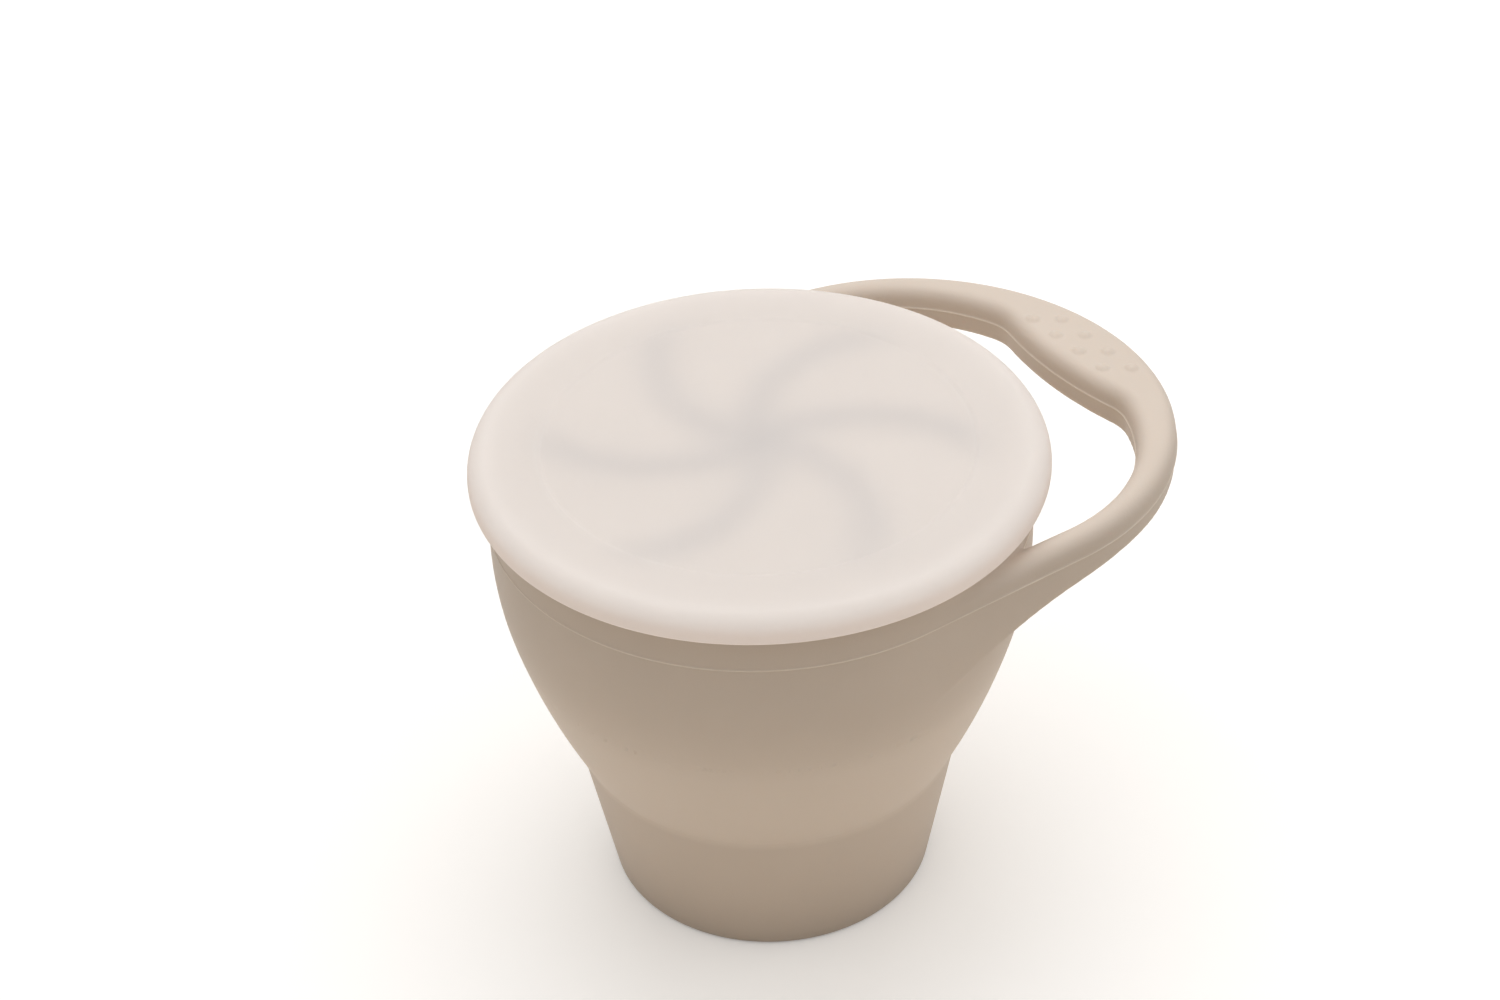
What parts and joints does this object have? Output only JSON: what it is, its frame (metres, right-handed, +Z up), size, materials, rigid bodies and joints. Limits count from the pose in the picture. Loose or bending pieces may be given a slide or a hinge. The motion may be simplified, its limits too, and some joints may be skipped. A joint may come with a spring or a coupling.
{
  "type": "snack cup",
  "caption": "Collapsible silicone snack cup with a loop handle, a lid of soft push-through flaps and a translucent press-on dust cover.",
  "frame": {"origin": "centre of the flat underside of the base", "axes": "+Z up along the cup's axis, +X towards the middle of the handle"},
  "size_m": [0.1241, 0.096, 0.0878],
  "materials": {
    "cup_silicone": "matt beige silicone, fine mould texture",
    "lid_silicone": "matt beige silicone, soft and thin",
    "cover_silicone": "pale translucent silicone, satin"
  },
  "bodies": {
    "lower_cup": {"lower_cup": "cup_silicone", "fold_wall": "cup_silicone"},
    "rim": {"rim_with_handle": "cup_silicone"},
    "snack_lid": {"snack_lid": "lid_silicone"},
    "dust_cover": {"dust_cover": "cover_silicone"},
    "flap_1": {"lid_flap_1": "lid_silicone"},
    "flap_2": {"lid_flap_2": "lid_silicone"},
    "flap_3": {"lid_flap_3": "lid_silicone"},
    "flap_4": {"lid_flap_4": "lid_silicone"},
    "flap_5": {"lid_flap_5": "lid_silicone"},
    "flap_6": {"lid_flap_6": "lid_silicone"}
  },
  "joints": [
    {"name": "collapse", "type": "slide", "parent": "lower_cup", "child": "rim", "axis": [0, 0, -1], "range_m": [0, 0.049], "deforming": ["fold_wall"]},
    {"name": "lid_lift", "type": "slide", "parent": "rim", "child": "snack_lid", "axis": [0, 0, 1], "range_m": [0, 0.045]},
    {"name": "cover_lift", "type": "slide", "parent": "snack_lid", "child": "dust_cover", "axis": [0, 0, 1], "range_m": [0, 0.045]},
    {"name": "flap_1_push", "type": "hinge", "parent": "snack_lid", "child": "flap_1", "pos_m": [0.02071, 0.02513, 0.0859], "axis": [0.7716, -0.6361, 0], "range_deg": [0, 60], "stiffness_Nm_per_rad": 0.006, "springref_deg": -2.86},
    {"name": "flap_2_push", "type": "hinge", "parent": "snack_lid", "child": "flap_2", "pos_m": [-0.0114, 0.0305, 0.0859], "axis": [0.9367, 0.3502, 0], "range_deg": [0, 60], "stiffness_Nm_per_rad": 0.006, "springref_deg": -2.86},
    {"name": "flap_3_push", "type": "hinge", "parent": "snack_lid", "child": "flap_3", "pos_m": [-0.03212, 0.00537, 0.0859], "axis": [0.165, 0.9863, 0], "range_deg": [0, 60], "stiffness_Nm_per_rad": 0.006, "springref_deg": -2.86},
    {"name": "flap_4_push", "type": "hinge", "parent": "snack_lid", "child": "flap_4", "pos_m": [-0.02071, -0.02513, 0.0859], "axis": [-0.7716, 0.6361, 0], "range_deg": [0, 60], "stiffness_Nm_per_rad": 0.006, "springref_deg": -2.86},
    {"name": "flap_5_push", "type": "hinge", "parent": "snack_lid", "child": "flap_5", "pos_m": [0.0114, -0.0305, 0.0859], "axis": [-0.9367, -0.3502, 0], "range_deg": [0, 60], "stiffness_Nm_per_rad": 0.006, "springref_deg": -2.86},
    {"name": "flap_6_push", "type": "hinge", "parent": "snack_lid", "child": "flap_6", "pos_m": [0.03212, -0.00537, 0.0859], "axis": [-0.165, -0.9863, 0], "range_deg": [0, 60], "stiffness_Nm_per_rad": 0.006, "springref_deg": -2.86}
  ]
}
